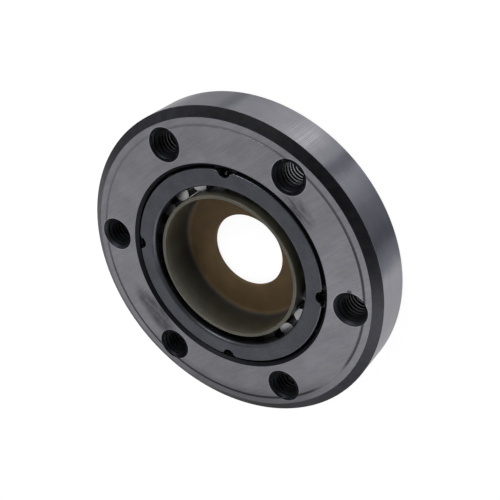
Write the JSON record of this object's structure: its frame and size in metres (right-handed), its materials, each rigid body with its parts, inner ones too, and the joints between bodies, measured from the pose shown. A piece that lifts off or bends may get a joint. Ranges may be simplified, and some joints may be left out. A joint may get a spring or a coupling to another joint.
{
  "type": "starter clutch",
  "caption": "One-way sprag clutch for a motorcycle starter: a flat ground steel outer race with threaded holes, a dark sprag cage and a brown plastic sleeve in its bore.",
  "frame": {"origin": "on the clutch's axis, in the plane of the outer race's rear face", "axes": "+Z along the clutch's axis towards the front face that shows the cage's flange, +X from the axis through the centre of one threaded hole"},
  "size_m": [0.092, 0.092, 0.0135],
  "materials": {
    "race_steel": "ground steel with a black oxide skin on the chamfer, track mouth and holes",
    "cage_steel": "dark slate, satin, drawn sheet",
    "inner_cage_steel": "near black, satin, rolled sheet",
    "spring_steel": "bright rolled spring strip",
    "clip_steel": "bright spring strip",
    "sprag_steel": "ground and tumbled bearing steel",
    "sleeve_nylon": "translucent olive brown moulded plastic"
  },
  "bodies": {
    "race": {"outer_race": "race_steel"},
    "cage": {"outer_cage": "cage_steel", "inner_cage": "inner_cage_steel", "ribbon_spring": "spring_steel", "drag_clip_1": "clip_steel", "drag_clip_2": "clip_steel", "drag_clip_3": "clip_steel", "drag_clip_4": "clip_steel"},
    "sleeve": {"sleeve": "sleeve_nylon"},
    "sprag_01": {"sprag_01": "sprag_steel"},
    "sprag_02": {"sprag_02": "sprag_steel"},
    "sprag_03": {"sprag_03": "sprag_steel"},
    "sprag_04": {"sprag_04": "sprag_steel"},
    "sprag_05": {"sprag_05": "sprag_steel"},
    "sprag_06": {"sprag_06": "sprag_steel"},
    "sprag_07": {"sprag_07": "sprag_steel"},
    "sprag_08": {"sprag_08": "sprag_steel"},
    "sprag_09": {"sprag_09": "sprag_steel"},
    "sprag_10": {"sprag_10": "sprag_steel"},
    "sprag_11": {"sprag_11": "sprag_steel"},
    "sprag_12": {"sprag_12": "sprag_steel"},
    "sprag_13": {"sprag_13": "sprag_steel"},
    "sprag_14": {"sprag_14": "sprag_steel"},
    "sprag_15": {"sprag_15": "sprag_steel"},
    "sprag_16": {"sprag_16": "sprag_steel"},
    "sprag_17": {"sprag_17": "sprag_steel"},
    "sprag_18": {"sprag_18": "sprag_steel"},
    "sprag_19": {"sprag_19": "sprag_steel"},
    "sprag_20": {"sprag_20": "sprag_steel"}
  },
  "joints": [
    {"name": "cage_spin", "type": "hinge", "parent": "race", "child": "cage", "pos_m": [0, 0, 0], "axis": [0, 0, 1], "continuous": true},
    {"name": "sleeve_lift_out", "type": "slide", "parent": "race", "child": "sleeve", "axis": [0, 0, 1], "range_m": [0, 0.016]},
    {"name": "sprag_01_rock", "type": "hinge", "parent": "cage", "child": "sprag_01", "pos_m": [0.0254, 0.00439, 0], "axis": [0, 0, 1], "range_deg": [-5, 5]},
    {"name": "sprag_02_rock", "type": "hinge", "parent": "cage", "child": "sprag_02", "pos_m": [0.0228, 0.01202, 0], "axis": [0, 0, 1], "range_deg": [-5, 5]},
    {"name": "sprag_03_rock", "type": "hinge", "parent": "cage", "child": "sprag_03", "pos_m": [0.01797, 0.01848, 0], "axis": [0, 0, 1], "range_deg": [-5, 5]},
    {"name": "sprag_04_rock", "type": "hinge", "parent": "cage", "child": "sprag_04", "pos_m": [0.01138, 0.02313, 0], "axis": [0, 0, 1], "range_deg": [-5, 5]},
    {"name": "sprag_05_rock", "type": "hinge", "parent": "cage", "child": "sprag_05", "pos_m": [0.00368, 0.02551, 0], "axis": [0, 0, 1], "range_deg": [-5, 5]},
    {"name": "sprag_06_rock", "type": "hinge", "parent": "cage", "child": "sprag_06", "pos_m": [-0.00439, 0.0254, 0], "axis": [0, 0, 1], "range_deg": [-5, 5]},
    {"name": "sprag_07_rock", "type": "hinge", "parent": "cage", "child": "sprag_07", "pos_m": [-0.01202, 0.0228, 0], "axis": [0, 0, 1], "range_deg": [-5, 5]},
    {"name": "sprag_08_rock", "type": "hinge", "parent": "cage", "child": "sprag_08", "pos_m": [-0.01848, 0.01797, 0], "axis": [0, 0, 1], "range_deg": [-5, 5]},
    {"name": "sprag_09_rock", "type": "hinge", "parent": "cage", "child": "sprag_09", "pos_m": [-0.02313, 0.01138, 0], "axis": [0, 0, 1], "range_deg": [-5, 5]},
    {"name": "sprag_10_rock", "type": "hinge", "parent": "cage", "child": "sprag_10", "pos_m": [-0.02551, 0.00368, 0], "axis": [0, 0, 1], "range_deg": [-5, 5]},
    {"name": "sprag_11_rock", "type": "hinge", "parent": "cage", "child": "sprag_11", "pos_m": [-0.0254, -0.00439, 0], "axis": [0, 0, 1], "range_deg": [-5, 5]},
    {"name": "sprag_12_rock", "type": "hinge", "parent": "cage", "child": "sprag_12", "pos_m": [-0.0228, -0.01202, 0], "axis": [0, 0, 1], "range_deg": [-5, 5]},
    {"name": "sprag_13_rock", "type": "hinge", "parent": "cage", "child": "sprag_13", "pos_m": [-0.01797, -0.01848, 0], "axis": [0, 0, 1], "range_deg": [-5, 5]},
    {"name": "sprag_14_rock", "type": "hinge", "parent": "cage", "child": "sprag_14", "pos_m": [-0.01138, -0.02313, 0], "axis": [0, 0, 1], "range_deg": [-5, 5]},
    {"name": "sprag_15_rock", "type": "hinge", "parent": "cage", "child": "sprag_15", "pos_m": [-0.00368, -0.02551, 0], "axis": [0, 0, 1], "range_deg": [-5, 5]},
    {"name": "sprag_16_rock", "type": "hinge", "parent": "cage", "child": "sprag_16", "pos_m": [0.00439, -0.0254, 0], "axis": [0, 0, 1], "range_deg": [-5, 5]},
    {"name": "sprag_17_rock", "type": "hinge", "parent": "cage", "child": "sprag_17", "pos_m": [0.01202, -0.0228, 0], "axis": [0, 0, 1], "range_deg": [-5, 5]},
    {"name": "sprag_18_rock", "type": "hinge", "parent": "cage", "child": "sprag_18", "pos_m": [0.01848, -0.01797, 0], "axis": [0, 0, 1], "range_deg": [-5, 5]},
    {"name": "sprag_19_rock", "type": "hinge", "parent": "cage", "child": "sprag_19", "pos_m": [0.02313, -0.01138, 0], "axis": [0, 0, 1], "range_deg": [-5, 5]},
    {"name": "sprag_20_rock", "type": "hinge", "parent": "cage", "child": "sprag_20", "pos_m": [0.02551, -0.00368, 0], "axis": [0, 0, 1], "range_deg": [-5, 5]}
  ],
  "couplings": [
    {"joint": "sprag_02_rock", "follows": "sprag_01_rock", "ratio": 1},
    {"joint": "sprag_03_rock", "follows": "sprag_01_rock", "ratio": 1},
    {"joint": "sprag_04_rock", "follows": "sprag_01_rock", "ratio": 1},
    {"joint": "sprag_05_rock", "follows": "sprag_01_rock", "ratio": 1},
    {"joint": "sprag_06_rock", "follows": "sprag_01_rock", "ratio": 1},
    {"joint": "sprag_07_rock", "follows": "sprag_01_rock", "ratio": 1},
    {"joint": "sprag_08_rock", "follows": "sprag_01_rock", "ratio": 1},
    {"joint": "sprag_09_rock", "follows": "sprag_01_rock", "ratio": 1},
    {"joint": "sprag_10_rock", "follows": "sprag_01_rock", "ratio": 1},
    {"joint": "sprag_11_rock", "follows": "sprag_01_rock", "ratio": 1},
    {"joint": "sprag_12_rock", "follows": "sprag_01_rock", "ratio": 1},
    {"joint": "sprag_13_rock", "follows": "sprag_01_rock", "ratio": 1},
    {"joint": "sprag_14_rock", "follows": "sprag_01_rock", "ratio": 1},
    {"joint": "sprag_15_rock", "follows": "sprag_01_rock", "ratio": 1},
    {"joint": "sprag_16_rock", "follows": "sprag_01_rock", "ratio": 1},
    {"joint": "sprag_17_rock", "follows": "sprag_01_rock", "ratio": 1},
    {"joint": "sprag_18_rock", "follows": "sprag_01_rock", "ratio": 1},
    {"joint": "sprag_19_rock", "follows": "sprag_01_rock", "ratio": 1},
    {"joint": "sprag_20_rock", "follows": "sprag_01_rock", "ratio": 1}
  ]
}
